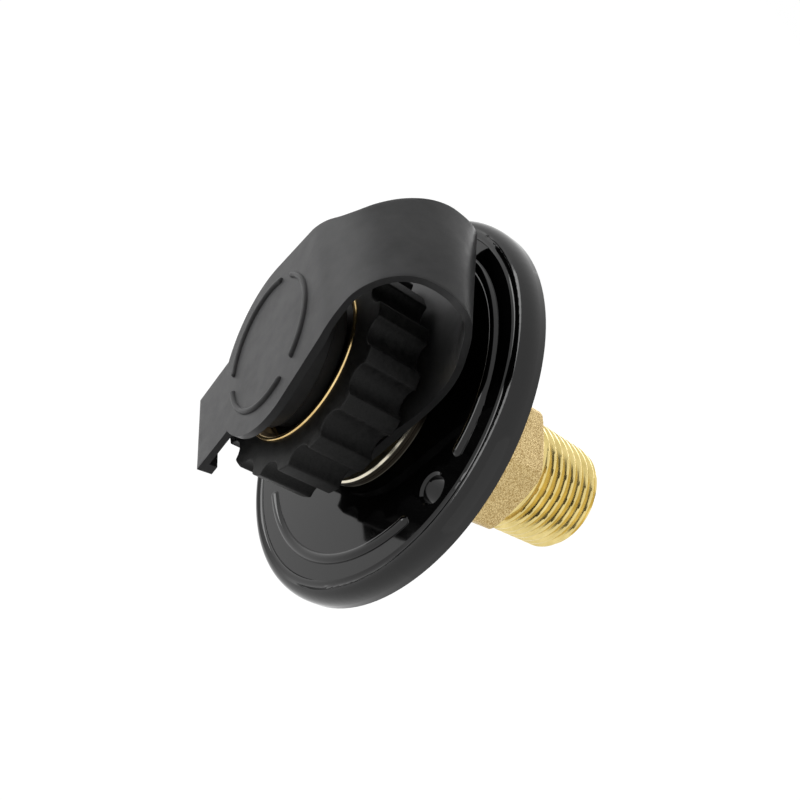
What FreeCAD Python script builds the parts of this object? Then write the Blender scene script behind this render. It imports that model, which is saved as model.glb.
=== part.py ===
import FreeCAD, Part
import math
import os

from FreeCAD import Vector

# City water inlet for the side of a caravan, in millimetres.
# The origin is the centre of the flange's back, where it lies on the wall.
# +Z is up along the plug's strap, -Y points out of the wall and +Y into it.
# A place called out is a distance from the wall plane towards the hose, so it is -Y.

# Flange plate, a round moulding screwed to the wall
flange_radius = 34.925
flange_face = 3.8
flange_wall = 2.4
flange_rim_width = 2.6
rim_side = 1.3
rim_crest_inset = 1.75
rim_crest_rise = 0.3
rim_groove_width = 1.3
rim_groove_depth = 0.3
ridge_radius = 28.0
ridge_width = 1.9
ridge_height = 0.7
ridge_gap = 24.0
screw_circle_radius = 27.75
screw_hole_radius = 2.25
screw_count = 3
screw_angle = -50.2
screw_boss_wall = 2.0
screw_hole_bevel = 0.4
rib_count = 9
rib_width = 1.6
rib_drop = 0.4
hub_wall = 0.6

# Brass body behind the wall, with a hexagon and a tapered pipe thread
hex_across_flats = 23.0
hex_corner_cut = 0.25
hex_rear_out = -26.2
hex_turn = -13.0
hex_edge_bevel = 0.8
shoulder_radius = 14.6
shoulder_thickness = 2.4
pipe_thread_length = 17.0
pipe_end_radius = 10.3
pipe_taper = 1.0 / 32.0
pipe_thread_pitch = 1.814
pipe_thread_depth = 1.2
pipe_crest_width = 0.12
pipe_root_width = 0.2
pipe_end_bevel = 1.2
outlet_radius = 7.3
valve_chamber_radius = 8.7
valve_chamber_length = 14.4

# Swivel tail, the turned tube that joins the body to the hose nut
tail_thread_radius = 9.4
tail_thread_depth = 10.0
tail_bore_radius = 6.4
neck_radius = 8.9
head_room = 0.8
head_thickness = 2.1
thread_clearance = 0.05

# Clamp collar on the front of the flange
collar_radius = 15.4
collar_recess = 1.2
collar_stand = 1.1
collar_bevel = 0.3

# Hose nut: a scalloped grip moulded over a brass thread insert
nut_rear_out = 9.5
nut_length = 9.9
hose_thread_radius = 12.4
hose_thread_depth = 1.1
insert_lip_width = 0.6
insert_lip = 0.25
nut_wall = 5.7
nut_scallop_depth = 2.0
nut_scallop_width = 5.0
nut_lobes = 16
nut_lobe_turn = 4.5
nut_edge_bevel = 0.6
insert_floor = 1.7
swivel_clearance = 0.3

# Hose washer and its strainer
washer_thickness = 2.6
washer_bore_radius = 6.6
strainer_gauge = 0.4
strainer_rim = 1.0
strainer_depth = 4.6
strainer_hole_radius = 0.55
strainer_rows = 3
strainer_spread = 62.0

# Plug, strap and ring, one rubber moulding
strap_thickness = 1.1
ring_thickness = 1.6
ring_out = 6.7
ring_half_width = 15.8
ring_clearance = 0.35
ring_bend_up = 12.0
cap_bend_up = 14.5
strap_crest_rise = 11.3
bend_reach = 12.5
near_crest_out = 15.2
near_rear_lift = 10.6
near_rear_run = 4.7
near_front_run = 6.7
far_crest_out = 12.2
far_rear_lift = 15.0
far_rear_run = 7.9
far_front_run = 8.3
far_rear_lean = 2.4
front_lift = 9.2
neck_taper = 13.0
neck_narrowing = 6.6
neck_top_up = 24.4
neck_hold = 0.4
neck_top_hold = 0.5
near_wide_out = 13.0
far_narrowing = 3.6
far_wide_out = 11.0
wide_hold = 0.3
narrow_hold = 0.45
bend_split = 0.3
cap_out = 25.7
cap_tilt = 6.6
cap_inset = 0.3
cap_thickness = 1.3
cap_bead_inset = 4.0
cap_bead_width = 1.0
cap_bead_height = 0.6
cap_bead_gap = 16.0
cap_bead_angle = -56.0
cap_bead_count = 3
plug_step_length = 3.8
plug_room = 0.8
plug_length = 6.4
plug_wall = 2.2
plug_end_bevel = 0.8
tab_width = 16.0
tab_reach = 23.7
tab_thickness = 1.2
tab_lip = 1.5
tab_lip_width = 2.0

# Check valve cartridge inside the body, whose poppet moves 4 mm into the wall
cartridge_clearance = 0.1
seat_length = 4.2
seat_bore_radius = 5.0
seat_cone_length = 1.4
seat_ring_groove = 1.8
seal_section_radius = 0.8
cage_wall = 0.9
cage_hub_radius = 2.7
cage_hub_length = 2.6
cage_spokes = 4
cage_spoke_width = 1.3
stem_radius = 1.5
stem_clearance = 0.08
poppet_radius = 6.1
poppet_thickness = 2.4
poppet_nose_radius = 4.3
poppet_seal_radius = 0.65
poppet_gap = 0.3
spring_wire_radius = 0.3
spring_coil_radius = 2.6
spring_turns = 5.0

# Seal ring between the body's shoulder and the back of the flange
flange_seal_radius = 12.4
flange_seal_section = 0.8

# Places that follow from the sizes above
overlap = 0.5
axis = Vector(0, 1, 0)
centre = Vector(0, 0, 0)
collar_seat_out = flange_face - collar_recess
collar_front_out = flange_face + collar_stand
tail_end_out = -tail_thread_depth
socket_radius = tail_thread_radius + thread_clearance
head_rear_out = nut_rear_out + insert_floor + swivel_clearance
head_front_out = head_rear_out + head_thickness
washer_front_out = head_front_out + washer_thickness
washer_radius = hose_thread_radius - swivel_clearance
nut_front_out = nut_rear_out + nut_length
mouth_radius = hose_thread_radius + hose_thread_depth
insert_radius = mouth_radius + insert_lip_width
nut_ridge_radius = insert_radius + nut_wall
head_radius = hose_thread_radius - head_room
strap_crest_up = nut_ridge_radius + strap_crest_rise
neck_half_width = ring_half_width - neck_narrowing
far_half_width = ring_half_width - far_narrowing
cap_radius = ring_half_width - cap_inset
cap_bead_radius = cap_radius - cap_bead_inset
plug_step_radius = hose_thread_radius
plug_radius = hose_thread_radius - plug_room
body_rear_out = hex_rear_out - pipe_thread_length
chamber_end_out = tail_end_out - valve_chamber_length
hub_radius = collar_radius + hub_wall
cartridge_radius = valve_chamber_radius - cartridge_clearance
seat_rear_out = tail_end_out - seat_length
poppet_front_out = seat_rear_out - poppet_gap
poppet_rear_out = poppet_front_out - poppet_thickness
cage_hub_front_out = chamber_end_out + cage_hub_length


def turned(points):
    # A solid turned about the inlet's axis from (radius, out) corners.
    corners = [Vector(radius, -out, 0) for radius, out in points]
    wire = Part.makePolygon(corners + corners[:1])
    return Part.Face(wire).revolve(centre, axis, 360)


def tube(inner, outer, low, high):
    return turned([(inner, low), (outer, low), (outer, high), (inner, high)])


def rod(radius, low, high):
    return Part.makeCylinder(radius, high - low, Vector(0, -low, 0), -axis)


def block(half_width, up_low, up_high, low, high):
    # A box centred on the strap's plane.
    corner = Vector(-half_width, -high, up_low)
    return Part.makeBox(2 * half_width, high - low, up_high - up_low, corner)


def spun(shape, angle):
    # Clockwise as seen from the hose side.
    copy = shape.copy()
    copy.rotate(centre, axis, angle)
    return copy


def tilted(shape):
    # Leans a piece of the plug about the middle of its outer face.
    copy = shape.copy()
    copy.rotate(Vector(0, -cap_out, 0), Vector(1, 0, 0), cap_tilt)
    return copy


def seal_ring(radius, section, out):
    return Part.makeTorus(radius, section, Vector(0, -out, 0), axis)


def raised_arcs(radius, width, height, face, gap, first_angle, count):
    # Low rounded beads on a circle, with round ends, that leave equal gaps between them.
    half = width / 2
    rounding = (half ** 2 + height ** 2) / (2 * height)
    lean = math.asin(half / rounding) / 2
    floor = -(face - height)
    crest = Vector(radius, -(face + height), 0)
    shoulder_drop = rounding * (1 - math.cos(lean))
    shoulder = Vector(radius + rounding * math.sin(lean), -(face + height - shoulder_drop), 0)
    foot = Vector(radius + half, -face, 0)
    base = Vector(radius + half, floor, 0)
    inner_foot = Vector(radius - half, -face, 0)
    inner_base = Vector(radius - half, floor, 0)
    middle = Vector(radius, floor, 0)
    section = Part.Wire([
        Part.Arc(inner_foot, crest, foot).toShape(),
        Part.makeLine(foot, base),
        Part.makeLine(base, inner_base),
        Part.makeLine(inner_base, inner_foot),
    ])
    half_section = Part.Wire([
        Part.Arc(crest, shoulder, foot).toShape(),
        Part.makeLine(foot, base),
        Part.makeLine(base, middle),
        Part.makeLine(middle, crest),
    ])
    span = 360.0 / count - gap - math.degrees(width / radius)
    start = Part.Face(half_section).revolve(middle, -axis, 180)
    finish = Part.Face(half_section).revolve(middle, axis, 180)
    one = Part.Face(section).revolve(centre, axis, span).fuse(start).fuse(spun(finish, span))
    # The bead is drawn on +X, a quarter turn past +Z.
    lead = first_angle + gap / 2 + math.degrees(half / radius) - 90
    return [spun(one, lead + index * 360.0 / count) for index in range(count)]


def screw_angles():
    return [screw_angle + index * 360.0 / screw_count for index in range(screw_count)]


def flange_profile():
    # Half section of the plate, with a rolled rim, a groove inside it and a hollow back.
    crest = flange_radius - rim_crest_inset
    crest_out = flange_face + rim_crest_rise
    groove_outer = crest - rim_crest_rise
    groove_inner = groove_outer - rim_groove_width
    groove_middle = groove_outer - rim_groove_width / 2
    rim_centre = Vector(crest, -rim_side, 0)
    roll = Part.Ellipse(Vector(crest, -crest_out, 0), Vector(flange_radius, -rim_side, 0), rim_centre)
    hollow_out = flange_face - flange_wall
    rim_inner = flange_radius - flange_rim_width
    groove = Part.Arc(
        Vector(groove_inner, -flange_face, 0),
        Vector(groove_middle, -(flange_face - rim_groove_depth), 0),
        Vector(groove_outer, -flange_face, 0),
    )
    inside = Part.makePolygon([
        Vector(flange_radius, -rim_side, 0),
        Vector(flange_radius, 0, 0),
        Vector(rim_inner, 0, 0),
        Vector(rim_inner, -hollow_out, 0),
        Vector(hub_radius, -hollow_out, 0),
        Vector(hub_radius, 0, 0),
        Vector(socket_radius, 0, 0),
        Vector(socket_radius, -collar_seat_out, 0),
        Vector(collar_radius + thread_clearance, -collar_seat_out, 0),
        Vector(collar_radius + thread_clearance, -flange_face, 0),
        Vector(groove_inner, -flange_face, 0),
    ])
    edges = inside.Edges + [groove.toShape()]
    edges.append(Part.makeLine(Vector(groove_outer, -flange_face, 0), Vector(crest, -crest_out, 0)))
    edges.append(roll.toShape(0, math.pi / 2))
    return Part.Face(Part.Wire(Part.__sortEdges__(edges)))


def flange_plate():
    plate = flange_profile().revolve(centre, axis, 360)
    hollow_out = flange_face - flange_wall
    rim_inner = flange_radius - flange_rim_width
    rib_length = rim_inner - hub_radius + overlap
    for index in range(rib_count):
        rib = Part.makeBox(
            rib_width,
            hollow_out - rib_drop + overlap,
            rib_length,
            Vector(-rib_width / 2, -(hollow_out + overlap), hub_radius - overlap / 2),
        )
        plate = plate.fuse(spun(rib, screw_angle + (index + 0.5) * 360.0 / rib_count))
    for angle in screw_angles():
        boss = rod(screw_hole_radius + screw_boss_wall, 0, hollow_out + overlap)
        boss.translate(Vector(0, 0, screw_circle_radius))
        plate = plate.fuse(spun(boss, angle))
    ridges = raised_arcs(
        ridge_radius, ridge_width, ridge_height, flange_face, ridge_gap, screw_angle, screw_count
    )
    for ridge in ridges:
        plate = plate.fuse(ridge)
    bevel_radius = screw_hole_radius + screw_hole_bevel
    for angle in screw_angles():
        hole = rod(screw_hole_radius, -overlap, flange_face + overlap)
        bevel = turned([
            (0, flange_face - screw_hole_bevel),
            (screw_hole_radius, flange_face - screw_hole_bevel),
            (bevel_radius + overlap, flange_face + overlap),
            (0, flange_face + overlap),
        ])
        cutter = hole.fuse(bevel)
        cutter.translate(Vector(0, 0, screw_circle_radius))
        plate = plate.cut(spun(cutter, angle))
    return plate.removeSplitter()


def hexagon():
    # The forged hexagon, with its corners rounded off and its ends bevelled.
    flat = hex_across_flats / 2
    corner = flat / math.cos(math.pi / 6)
    points = []
    for index in range(7):
        angle = math.radians(hex_turn + index * 60)
        points.append(Vector(corner * math.sin(angle), 0, corner * math.cos(angle)))
    prism = Part.Face(Part.makePolygon(points)).extrude(Vector(0, -hex_rear_out, 0))
    round_radius = corner - hex_corner_cut
    soften = turned([
        (0, 0),
        (round_radius, 0),
        (round_radius, hex_rear_out + hex_edge_bevel),
        (round_radius - 2 * hex_edge_bevel, hex_rear_out),
        (0, hex_rear_out),
    ])
    return prism.common(soften)


def thread_turn():
    # One turn of the pipe thread's groove, which starts on +Z at the wall plane.
    rise = pipe_thread_length * pipe_taper / 2
    middle_radius = pipe_end_radius + rise
    half_mouth = (pipe_thread_pitch - pipe_crest_width) / 2
    half_root = pipe_root_width / 2
    mouth = middle_radius + rise + thread_clearance
    root = middle_radius - pipe_thread_depth
    section = Part.makePolygon([
        Vector(mouth, 0, half_mouth),
        Vector(mouth, 0, -half_mouth),
        Vector(root, 0, -half_root),
        Vector(root, 0, half_root),
        Vector(mouth, 0, half_mouth),
    ])
    helix = Part.makeHelix(pipe_thread_pitch, pipe_thread_pitch, middle_radius)
    turn = Part.Wire(helix).makePipeShell([section], True, True)
    turn.rotate(centre, Vector(1, 0, 0), 90)
    turn.rotate(centre, axis, -90)
    return turn


def pipe_thread():
    # Tapered male thread, cut one turn at a time from its end to inside the hexagon.
    foot_radius = pipe_end_radius + pipe_thread_length * pipe_taper
    thread = turned([
        (0, hex_rear_out + overlap),
        (foot_radius, hex_rear_out + overlap),
        (foot_radius, hex_rear_out),
        (pipe_end_radius, body_rear_out + pipe_end_bevel),
        (pipe_end_radius - pipe_end_bevel, body_rear_out),
        (0, body_rear_out),
    ])
    last = math.ceil(0.5 - body_rear_out / pipe_thread_pitch)
    first = math.floor(-hex_rear_out / pipe_thread_pitch)
    for index in range(first, last):
        turn = thread_turn()
        turn.translate(axis * (index + 1) * pipe_thread_pitch)
        thread = thread.cut(turn)
    return thread


def inlet_body():
    shoulder = rod(shoulder_radius, -shoulder_thickness, 0)
    bore = turned([
        (0, overlap),
        (socket_radius, overlap),
        (socket_radius, tail_end_out),
        (valve_chamber_radius, tail_end_out),
        (valve_chamber_radius, chamber_end_out),
        (outlet_radius, chamber_end_out),
        (outlet_radius, body_rear_out - overlap),
        (0, body_rear_out - overlap),
    ])
    body = hexagon().fuse(pipe_thread()).fuse(shoulder).cut(bore)
    groove_inner = flange_seal_radius - flange_seal_section
    groove_outer = flange_seal_radius + flange_seal_section
    groove = tube(groove_inner, groove_outer, -2 * flange_seal_section, overlap)
    return body.cut(groove).removeSplitter()


def flange_seal():
    return seal_ring(flange_seal_radius, flange_seal_section, -flange_seal_section)


def swivel_tail():
    return turned([
        (tail_bore_radius, tail_end_out),
        (tail_thread_radius, tail_end_out),
        (tail_thread_radius, collar_front_out),
        (neck_radius, collar_front_out),
        (neck_radius, head_rear_out),
        (head_radius, head_rear_out),
        (head_radius, head_front_out),
        (tail_bore_radius, head_front_out),
    ])


def clamp_collar():
    return turned([
        (socket_radius, collar_seat_out),
        (collar_radius, collar_seat_out),
        (collar_radius, collar_front_out - collar_bevel),
        (collar_radius - collar_bevel, collar_front_out),
        (socket_radius, collar_front_out),
    ])


def nut_grip():
    # Sixteen flat-topped ridges with concave scallops between them, along the whole nut.
    grip = turned([
        (insert_radius, nut_rear_out),
        (nut_ridge_radius - nut_edge_bevel, nut_rear_out),
        (nut_ridge_radius, nut_rear_out + nut_edge_bevel),
        (nut_ridge_radius, nut_front_out - nut_edge_bevel),
        (nut_ridge_radius - nut_edge_bevel, nut_front_out),
        (insert_radius, nut_front_out),
    ])
    half = nut_scallop_width / 2
    scallop_radius = (half ** 2 + nut_scallop_depth ** 2) / (2 * nut_scallop_depth)
    scallop = rod(scallop_radius, nut_rear_out - overlap, nut_front_out + overlap)
    scallop.translate(Vector(0, 0, nut_ridge_radius - nut_scallop_depth + scallop_radius))
    cutters = [spun(scallop, nut_lobe_turn + index * 360.0 / nut_lobes) for index in range(nut_lobes)]
    return grip.cut(Part.makeCompound(cutters))


def nut_insert():
    # Female hose thread at its crest radius, a floor that hooks behind the tail's head, a bright lip.
    mouth_bevel = mouth_radius - hose_thread_radius
    lip_out = nut_front_out + insert_lip
    return turned([
        (neck_radius + swivel_clearance, nut_rear_out),
        (insert_radius, nut_rear_out),
        (insert_radius, lip_out),
        (mouth_radius, lip_out),
        (hose_thread_radius, lip_out - mouth_bevel),
        (hose_thread_radius, nut_rear_out + insert_floor),
        (neck_radius + swivel_clearance, nut_rear_out + insert_floor),
    ])


def hose_washer():
    rim_seat = washer_bore_radius + strainer_rim
    return turned([
        (rim_seat, head_front_out),
        (washer_radius, head_front_out),
        (washer_radius, washer_front_out),
        (washer_bore_radius, washer_front_out),
        (washer_bore_radius, head_front_out + strainer_gauge),
        (rim_seat, head_front_out + strainer_gauge),
    ])


def strainer_screen():
    # A perforated dome that bulges into the tail's bore from a rim under the washer.
    rim_radius = washer_bore_radius + strainer_rim - thread_clearance
    skirt = tail_bore_radius - swivel_clearance
    front = head_front_out + strainer_gauge
    dome_radius = (skirt ** 2 + strainer_depth ** 2) / (2 * strainer_depth)
    dome_centre = front - strainer_depth + dome_radius
    ball = Part.makeSphere(dome_radius, Vector(0, -dome_centre, 0))
    hollow = Part.makeSphere(dome_radius - strainer_gauge, Vector(0, -dome_centre, 0))
    dome = ball.cut(hollow).common(rod(skirt, front - 2 * strainer_depth, front))
    screen = dome.fuse(tube(skirt - strainer_gauge, rim_radius, head_front_out, front))
    hole_length = 4 * strainer_gauge
    hole_start = Vector(0, dome_radius - dome_centre - hole_length / 2 - strainer_gauge / 2, 0)
    holes = []
    for row in range(1, strainer_rows + 1):
        lean = row * strainer_spread / (strainer_rows + 1)
        count = 6 * row
        for index in range(count):
            hole = Part.makeCylinder(strainer_hole_radius, hole_length, hole_start, axis)
            hole.rotate(Vector(0, -dome_centre, 0), Vector(1, 0, 0), lean)
            holes.append(spun(hole, index * 360.0 / count))
    return screen.cut(Part.makeCompound(holes)).removeSplitter()


def inside_poles(poles):
    # Poles of the strap's inside, one thickness in from those of its outside.
    legs = [(after - before).normalize() for before, after in zip(poles, poles[1:])]
    normals = [Vector(0, -leg.z, leg.y) for leg in legs]
    shifts = [normals[0]]
    for first, second in zip(normals, normals[1:]):
        shifts.append((first + second) * (1 / (1 + first.dot(second))))
    shifts.append(normals[-1])
    return [pole + shift * strap_thickness for pole, shift in zip(poles, shifts)]


def bend_edge(poles):
    curve = Part.BezierCurve()
    curve.setPoles(poles)
    return curve.toShape()


def strap_side(across, crest_out, rear_lift, rear_run, rear_lean, front_run):
    # Closed side view of the strap: up from the ring, over the nut in two bends, down to the cap.
    slope = math.tan(math.radians(cap_tilt))
    cap_end_out = cap_out + cap_bend_up * slope
    under = Vector(0, -strap_thickness, 0)
    ring_foot = Vector(0, -ring_out, -ring_half_width - overlap)
    ring_start = Vector(0, -ring_out, ring_bend_up)
    cap_start = Vector(0, -cap_end_out, cap_bend_up)
    cap_foot = Vector(0, -cap_out, 0)
    crest = Vector(0, -crest_out, strap_crest_up)
    rear = [
        ring_start,
        Vector(0, rear_lean - ring_out, ring_bend_up + rear_lift),
        crest + Vector(0, rear_run, 0),
        crest,
    ]
    front = [
        crest,
        crest - Vector(0, front_run, 0),
        cap_start + Vector(0, -slope, 1) * front_lift,
        cap_start,
    ]
    rear_inside = inside_poles(rear)
    front_inside = inside_poles(front)
    rear_inside[0] = ring_start + under
    front_inside[-1] = cap_start - under
    edges = [
        Part.makeLine(ring_foot, ring_start),
        bend_edge(rear),
        bend_edge(front),
        Part.makeLine(cap_start, cap_foot),
        Part.makeLine(cap_foot, cap_foot - under),
        Part.makeLine(cap_foot - under, front_inside[-1]),
        bend_edge(front_inside[::-1]),
        bend_edge(rear_inside[::-1]),
        Part.makeLine(rear_inside[0], ring_foot + under),
        Part.makeLine(ring_foot + under, ring_foot),
    ]
    for edge in edges:
        edge.translate(Vector(across, 0, 0))
    return edges


def at_edge(near, far, share):
    # Carries a size on in a straight line from the near edge to the far edge and past both.
    return far + (near - far) * share


def strap_sheet():
    # The strap before its edges are cut: it twists as it bends, so its far side leans back.
    half = ring_half_width + overlap
    sides = []
    for across in (half, -half):
        share = (1 + across / bend_reach) / 2
        sides.append(strap_side(
            across,
            at_edge(near_crest_out, far_crest_out, share),
            at_edge(near_rear_lift, far_rear_lift, share),
            at_edge(near_rear_run, far_rear_run, share),
            at_edge(0, far_rear_lean, share),
            at_edge(near_front_run, far_front_run, share),
        ))
    faces = [Part.makeRuledSurface(near, far) for near, far in zip(sides[0], sides[1])]
    faces += [Part.Face(Part.Wire(side)) for side in sides]
    shell = Part.makeShell(faces)
    shell.sewShape()
    return Part.Solid(shell)


def plan_side(across, wide_half, wide_out, narrow_out):
    # One edge of the strap over the bend, seen from above, from the ring's side to the neck.
    run = narrow_out - wide_out
    return bend_edge([
        Vector(across * wide_half, -wide_out, 0),
        Vector(across * wide_half, -(wide_out + wide_hold * run), 0),
        Vector(across * neck_half_width, -(narrow_out - narrow_hold * run), 0),
        Vector(across * neck_half_width, -narrow_out, 0),
    ])


def bend_plan():
    # The strap's width over the bend, seen from above: wide at the ring, narrow at the cap.
    narrow_out = cap_out - strap_thickness
    low_out = ring_out - 2 * far_rear_lean
    high_out = cap_out + cap_radius * math.tan(math.radians(cap_tilt)) + overlap
    near = plan_side(1, ring_half_width, near_wide_out, narrow_out)
    far = plan_side(-1, far_half_width, far_wide_out, narrow_out)
    outline = Part.makePolygon([
        Vector(neck_half_width, -narrow_out, 0),
        Vector(neck_half_width, -high_out, 0),
        Vector(-neck_half_width, -high_out, 0),
        Vector(-neck_half_width, -narrow_out, 0),
    ])
    rear = Part.makePolygon([
        Vector(-far_half_width, -far_wide_out, 0),
        Vector(-far_half_width, -low_out, 0),
        Vector(ring_half_width, -low_out, 0),
        Vector(ring_half_width, -near_wide_out, 0),
    ])
    plan = Part.Face(Part.Wire(Part.__sortEdges__([near, far] + outline.Edges + rear.Edges)))
    return plan.extrude(Vector(0, 0, strap_crest_up + overlap))


def rear_outline():
    # The rear bend seen from the hose: its far edge draws in as it climbs.
    low_out = ring_out - 2 * far_rear_lean
    corners = [
        Vector(ring_half_width, -low_out, 0),
        Vector(ring_half_width, -low_out, strap_crest_up + overlap),
        Vector(-far_half_width, -low_out, strap_crest_up + overlap),
        Vector(-far_half_width, -low_out, strap_crest_up - strap_thickness),
        Vector(-ring_half_width, -low_out, ring_bend_up),
        Vector(-ring_half_width, -low_out, 0),
        Vector(ring_half_width, -low_out, 0),
    ]
    return Part.Face(Part.makePolygon(corners)).extrude(Vector(0, low_out - near_wide_out, 0))


def neck_outline():
    # The neck seen from the hose: it leaves the disc on two tangents and narrows in two soft curves.
    lean = math.radians(neck_taper)
    leave_half = cap_radius * math.cos(lean)
    leave_up = cap_radius * math.sin(lean)
    curve_half = leave_half - (cap_bend_up - leave_up) * math.tan(lean)
    run = neck_top_up - cap_bend_up
    edges = [
        Part.makeLine(Vector(-leave_half, 0, 0), Vector(leave_half, 0, 0)),
        Part.makeLine(Vector(-neck_half_width, 0, neck_top_up), Vector(neck_half_width, 0, neck_top_up)),
    ]
    for side in (-1, 1):
        foot = Vector(side * leave_half, 0, 0)
        leave = Vector(side * leave_half, 0, leave_up)
        curve = Vector(side * curve_half, 0, cap_bend_up)
        soft = curve + (curve - leave).normalize() * neck_hold * run
        top = Vector(side * neck_half_width, 0, neck_top_up)
        edges += [
            Part.makeLine(foot, leave),
            Part.makeLine(leave, curve),
            bend_edge([curve, soft, top - Vector(0, 0, neck_top_hold * run), top]),
        ]
    outline = Part.Face(Part.Wire(Part.__sortEdges__(edges)))
    outline.translate(Vector(0, -far_crest_out, 0))
    return outline.extrude(Vector(0, -cap_out, 0))


def strap_ring():
    # Ring end: a round ended plate with the neck's hole, turned up into the rear half of the bend.
    split_out = near_crest_out - bend_split / 2
    half = ring_half_width + overlap
    low_out = ring_out - 2 * far_rear_lean
    high_up = strap_crest_up + overlap
    rear_half = block(half, 0, high_up, low_out, split_out)
    outline = rear_outline().fuse(block(half, neck_top_up, high_up, near_wide_out, split_out))
    rear = strap_sheet().common(rear_half).common(bend_plan()).common(outline)
    thick = ring_out + ring_thickness
    plate = rod(ring_half_width, ring_out, thick)
    ring = rear.fuse(plate)
    ring = ring.cut(rod(neck_radius + ring_clearance, ring_out - overlap, thick + overlap))
    return ring.removeSplitter()


def cap_plate():
    under = cap_out - cap_thickness
    disc = rod(cap_radius, under, cap_out)
    tab_under = cap_out - tab_thickness
    tab = block(tab_width / 2, -tab_reach, -cap_radius / 2, tab_under, cap_out)
    lip_top = -tab_reach + tab_lip_width
    lip = block(tab_width / 2, -tab_reach, lip_top, tab_under - tab_lip, tab_under + overlap)
    return disc.fuse(tab).fuse(lip)


def plug_stopper():
    # Stepped stopper under the cap, open inside so that it can be squeezed into the nut.
    under = cap_out - cap_thickness
    step = under - plug_step_length
    end = under - plug_length
    inside = plug_radius - plug_wall
    return turned([
        (inside, under + overlap),
        (plug_step_radius, under + overlap),
        (plug_step_radius, step),
        (plug_radius, step),
        (plug_radius, end + plug_end_bevel),
        (plug_radius - plug_end_bevel, end),
        (inside, end),
    ])


def plug_cap():
    # Cap end: disc, pull tab, bead arcs and stopper, with the front half of the bend.
    cap = cap_plate().fuse(plug_stopper())
    arcs = raised_arcs(
        cap_bead_radius,
        cap_bead_width,
        cap_bead_height,
        cap_out,
        cap_bead_gap,
        cap_bead_angle,
        cap_bead_count,
    )
    for arc in arcs:
        cap = cap.fuse(arc)
    split_out = near_crest_out + bend_split / 2
    half = ring_half_width + overlap
    bend = block(half, neck_top_up, strap_crest_up + overlap, split_out, cap_out + cap_radius)
    bend = bend.common(bend_plan())
    front = strap_sheet().common(bend.fuse(neck_outline()))
    return tilted(cap).fuse(front).removeSplitter()


def valve_seat():
    # Front ring of the cartridge, with a groove for its seal and a coned seat at the back.
    groove_out = tail_end_out - (seat_length - seat_cone_length) / 2
    groove_floor = cartridge_radius - 2 * seal_section_radius
    half_groove = seat_ring_groove / 2
    return turned([
        (seat_bore_radius, tail_end_out),
        (cartridge_radius, tail_end_out),
        (cartridge_radius, groove_out + half_groove),
        (groove_floor, groove_out + half_groove),
        (groove_floor, groove_out - half_groove),
        (cartridge_radius, groove_out - half_groove),
        (cartridge_radius, seat_rear_out),
        (seat_bore_radius + seat_cone_length, seat_rear_out),
        (seat_bore_radius, seat_rear_out + seat_cone_length),
    ])


def cartridge_seal():
    groove_out = tail_end_out - (seat_length - seat_cone_length) / 2
    return seal_ring(cartridge_radius - seal_section_radius, seal_section_radius, groove_out)


def valve_cage():
    # Sleeve behind the seat, with a spoked hub that guides the poppet's stem.
    sleeve = tube(cartridge_radius - cage_wall, cartridge_radius, chamber_end_out, seat_rear_out)
    hub = rod(cage_hub_radius, chamber_end_out, cage_hub_front_out)
    cage = sleeve.fuse(hub)
    spoke_length = cartridge_radius - cage_wall / 2
    for index in range(cage_spokes):
        spoke = block(cage_spoke_width / 2, 0, spoke_length, chamber_end_out, cage_hub_front_out - overlap)
        cage = cage.fuse(spun(spoke, index * 360.0 / cage_spokes))
    guide = rod(stem_radius + stem_clearance, chamber_end_out - overlap, cage_hub_front_out + overlap)
    return cage.cut(guide).removeSplitter()


def valve_poppet():
    # Mushroom shaped poppet with a grooved head and a guide stem.
    groove_out = poppet_front_out - poppet_thickness / 2
    groove_floor = poppet_radius - 2 * poppet_seal_radius
    return turned([
        (0, poppet_front_out + poppet_gap),
        (poppet_nose_radius / 2, poppet_front_out + poppet_gap),
        (poppet_nose_radius, poppet_front_out),
        (poppet_radius, groove_out + poppet_seal_radius),
        (groove_floor, groove_out + poppet_seal_radius),
        (groove_floor, groove_out - poppet_seal_radius),
        (poppet_radius, groove_out - poppet_seal_radius),
        (poppet_radius, poppet_rear_out),
        (stem_radius, poppet_rear_out),
        (stem_radius, chamber_end_out),
        (0, chamber_end_out),
    ])


def poppet_seal():
    groove_out = poppet_front_out - poppet_thickness / 2
    return seal_ring(poppet_radius - poppet_seal_radius, poppet_seal_radius, groove_out)


def valve_spring():
    # Coil between the poppet's head and the cage's hub.
    low = cage_hub_front_out + spring_wire_radius
    high = poppet_rear_out - spring_wire_radius
    length = high - low
    helix = Part.makeHelix(length / spring_turns, length, spring_coil_radius)
    start = Vector(spring_coil_radius, 0, 0)
    section = Part.Wire(Part.makeCircle(spring_wire_radius, start, Vector(0, 1, 0)))
    coil = Part.Wire(helix).makePipeShell([section], True, True)
    coil.rotate(centre, Vector(1, 0, 0), 90)
    coil.translate(Vector(0, -low, 0))
    return coil


def pieces():
    return {
        "flange_plate": flange_plate(),
        "flange_seal": flange_seal(),
        "inlet_body": inlet_body(),
        "swivel_tail": swivel_tail(),
        "clamp_collar": clamp_collar(),
        "nut_grip": nut_grip(),
        "nut_insert": nut_insert(),
        "hose_washer": hose_washer(),
        "strainer_screen": strainer_screen(),
        "strap_ring": strap_ring(),
        "plug_cap": plug_cap(),
        "valve_seat": valve_seat(),
        "cartridge_seal": cartridge_seal(),
        "valve_cage": valve_cage(),
        "valve_poppet": valve_poppet(),
        "poppet_seal": poppet_seal(),
        "valve_spring": valve_spring(),
    }


os.makedirs("parts", exist_ok=True)
for name, shape in pieces().items():
    shape.exportStep("parts/" + name + ".step")
    print(name, "solids", len(shape.Solids), "valid", shape.isValid(), "volume", round(shape.Volume, 2))
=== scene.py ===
import math
import bpy
import bmesh
import numpy as np
from mathutils import Matrix, Vector


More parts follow.
